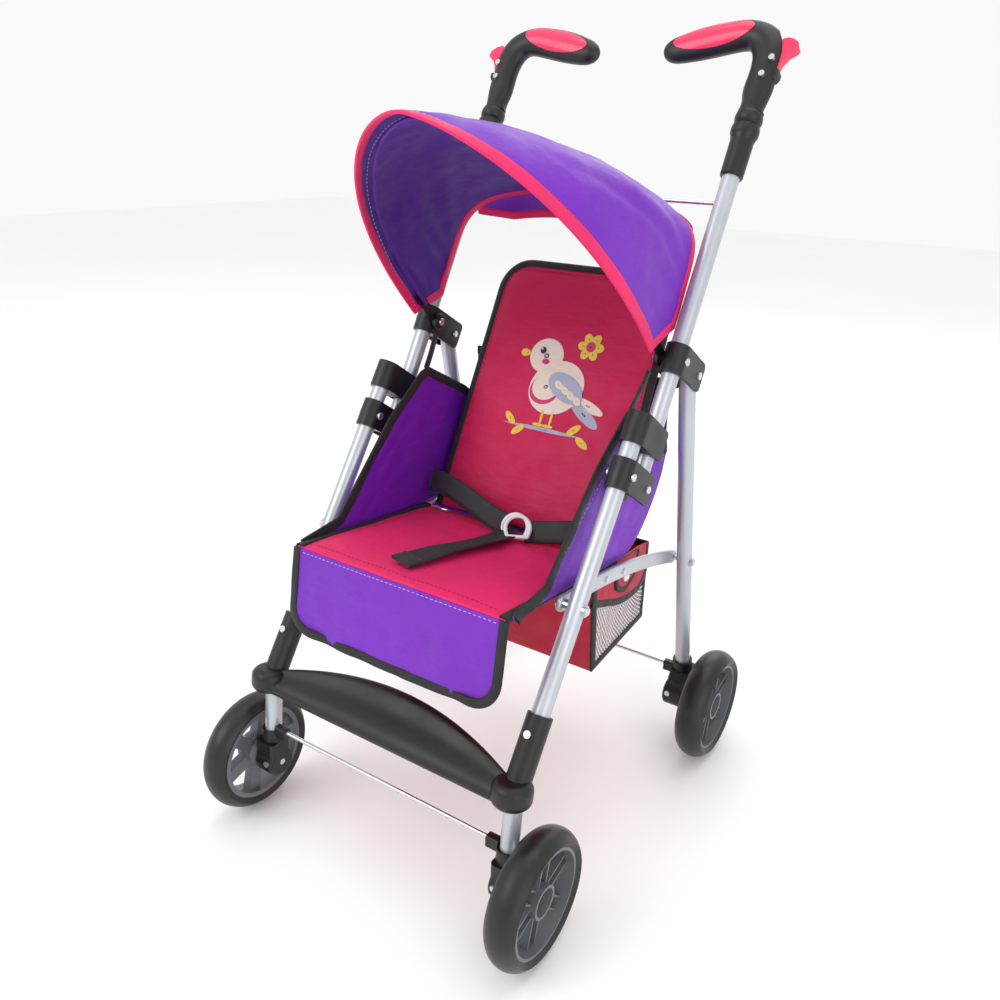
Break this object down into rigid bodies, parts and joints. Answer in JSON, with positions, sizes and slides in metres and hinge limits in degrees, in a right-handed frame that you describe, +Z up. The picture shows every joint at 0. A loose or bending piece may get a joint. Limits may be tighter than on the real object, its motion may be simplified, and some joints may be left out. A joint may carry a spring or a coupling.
{
  "type": "doll stroller",
  "caption": "Folding umbrella-style doll stroller with hooked handles, tubular frame, footrest, cloth seat with sun hood and under-seat basket, on small spoked wheels.",
  "frame": {"origin": "middle of the footprint of the whole stroller, on the floor", "axes": "+X to the stroller's left, +Y to its rear where the handles are, +Z up"},
  "size_m": [0.381, 0.4712, 0.7381],
  "materials": {
    "tube_silver": "silver powder coat",
    "steel_bright": "zinc plated",
    "plastic_black": "satin moulded",
    "tyre_black": "smooth foam tread",
    "rim_grey": "satin moulded",
    "trim_red": "soft gloss",
    "ring_white": "gloss moulded",
    "seat_pink": "coated nylon",
    "fabric_purple": "coated nylon",
    "fabric_crimson": "coated nylon",
    "webbing_black": "woven webbing"
  },
  "bodies": {
    "front_frame": {"front_tube_left": "tube_silver", "front_tube_right": "tube_silver", "footrest": "plastic_black", "footrest_rivets": "steel_bright", "front_housing_left": "plastic_black", "front_housing_right": "plastic_black", "front_cross_wire": "steel_bright", "front_housing_screws": "steel_bright", "front_axles": "steel_bright", "lower_bracket_left": "plastic_black", "lower_bracket_right": "plastic_black", "frame_bolts": "steel_bright", "snap_clip_left": "plastic_black", "snap_clip_right": "plastic_black", "seat_pan": "seat_pink", "backrest": "seat_pink", "back_panel": "fabric_purple", "side_wing_left": "fabric_purple", "side_wing_right": "fabric_purple", "front_flap": "fabric_purple", "basket": "fabric_crimson", "basket_flaps": "fabric_crimson", "seat_belt": "webbing_black", "belt_rings": "ring_white"},
    "handle_frame": {"handle_tube_left": "tube_silver", "handle_tube_right": "tube_silver", "upper_bracket_left": "plastic_black", "upper_bracket_right": "plastic_black", "upper_bracket_bolts": "steel_bright", "handle_collar_left": "plastic_black", "handle_collar_right": "plastic_black", "handle_grip_left": "plastic_black", "handle_grip_right": "plastic_black", "grip_inlays": "trim_red", "handle_pins": "steel_bright", "canopy_rear_rod": "steel_bright", "canopy_bosses": "plastic_black", "canopy": "fabric_purple", "wing_straps": "webbing_black"},
    "rear_legs": {"rear_leg_left": "tube_silver", "rear_leg_right": "tube_silver", "rear_housing_left": "plastic_black", "rear_housing_right": "plastic_black", "rear_cross_wire": "steel_bright", "rear_axles": "steel_bright", "rear_leg_bolts": "steel_bright"},
    "seat_rails": {"seat_rails": "tube_silver", "rail_rivets": "steel_bright"},
    "canopy_bow": {"canopy_bow": "steel_bright", "canopy_arms": "plastic_black"},
    "front_wheel_left": {"front_tyre_left": "tyre_black", "front_rim_left": "rim_grey"},
    "rear_wheel_left": {"rear_tyre_left": "tyre_black", "rear_rim_left": "rim_grey"},
    "trigger_left": {"trigger_left": "trim_red"},
    "front_wheel_right": {"front_tyre_right": "tyre_black", "front_rim_right": "rim_grey"},
    "rear_wheel_right": {"rear_tyre_right": "tyre_black", "rear_rim_right": "rim_grey"},
    "trigger_right": {"trigger_right": "trim_red"}
  },
  "joints": [
    {"name": "handle_fold", "type": "hinge", "parent": "front_frame", "child": "handle_frame", "pos_m": [0, 0.01205, 0.35589], "axis": [1, 0, 0], "range_deg": [-150, 0], "deforming": ["wing_straps"]},
    {"name": "leg_fold", "type": "hinge", "parent": "handle_frame", "child": "rear_legs", "pos_m": [0, 0.10312, 0.43816], "axis": [1, 0, 0], "range_deg": [0, 116.6]},
    {"name": "rail_fold", "type": "hinge", "parent": "front_frame", "child": "seat_rails", "pos_m": [0, -0.0841, 0.279], "axis": [1, 0, 0], "range_deg": [-83.9, 0]},
    {"name": "canopy_fold", "type": "hinge", "parent": "handle_frame", "child": "canopy_bow", "pos_m": [0, 0.07017, 0.45708], "axis": [1, 0, 0], "range_deg": [-70, 0], "deforming": ["canopy"]},
    {"name": "front_spin_left", "type": "hinge", "parent": "front_frame", "child": "front_wheel_left", "pos_m": [0.165, -0.1755, 0.06], "axis": [1, 0, 0], "continuous": true},
    {"name": "rear_spin_left", "type": "hinge", "parent": "rear_legs", "child": "rear_wheel_left", "pos_m": [0.1755, 0.1665, 0.06], "axis": [1, 0, 0], "continuous": true},
    {"name": "trigger_left", "type": "hinge", "parent": "handle_frame", "child": "trigger_left", "pos_m": [0.1455, 0.20978, 0.70014], "axis": [0, 0.8671, -0.4981], "range_deg": [0, 12], "stiffness_Nm_per_rad": 0.05},
    {"name": "front_spin_right", "type": "hinge", "parent": "front_frame", "child": "front_wheel_right", "pos_m": [-0.165, -0.1755, 0.06], "axis": [1, 0, 0], "continuous": true},
    {"name": "rear_spin_right", "type": "hinge", "parent": "rear_legs", "child": "rear_wheel_right", "pos_m": [-0.1755, 0.1665, 0.06], "axis": [1, 0, 0], "continuous": true},
    {"name": "trigger_right", "type": "hinge", "parent": "handle_frame", "child": "trigger_right", "pos_m": [-0.1455, 0.20978, 0.70014], "axis": [0, -0.8671, 0.4981], "range_deg": [0, 12], "stiffness_Nm_per_rad": 0.05}
  ],
  "couplings": [
    {"joint": "leg_fold", "follows": "handle_fold", "ratio": -0.77381},
    {"joint": "rail_fold", "follows": "handle_fold", "ratio": 0.55577}
  ]
}
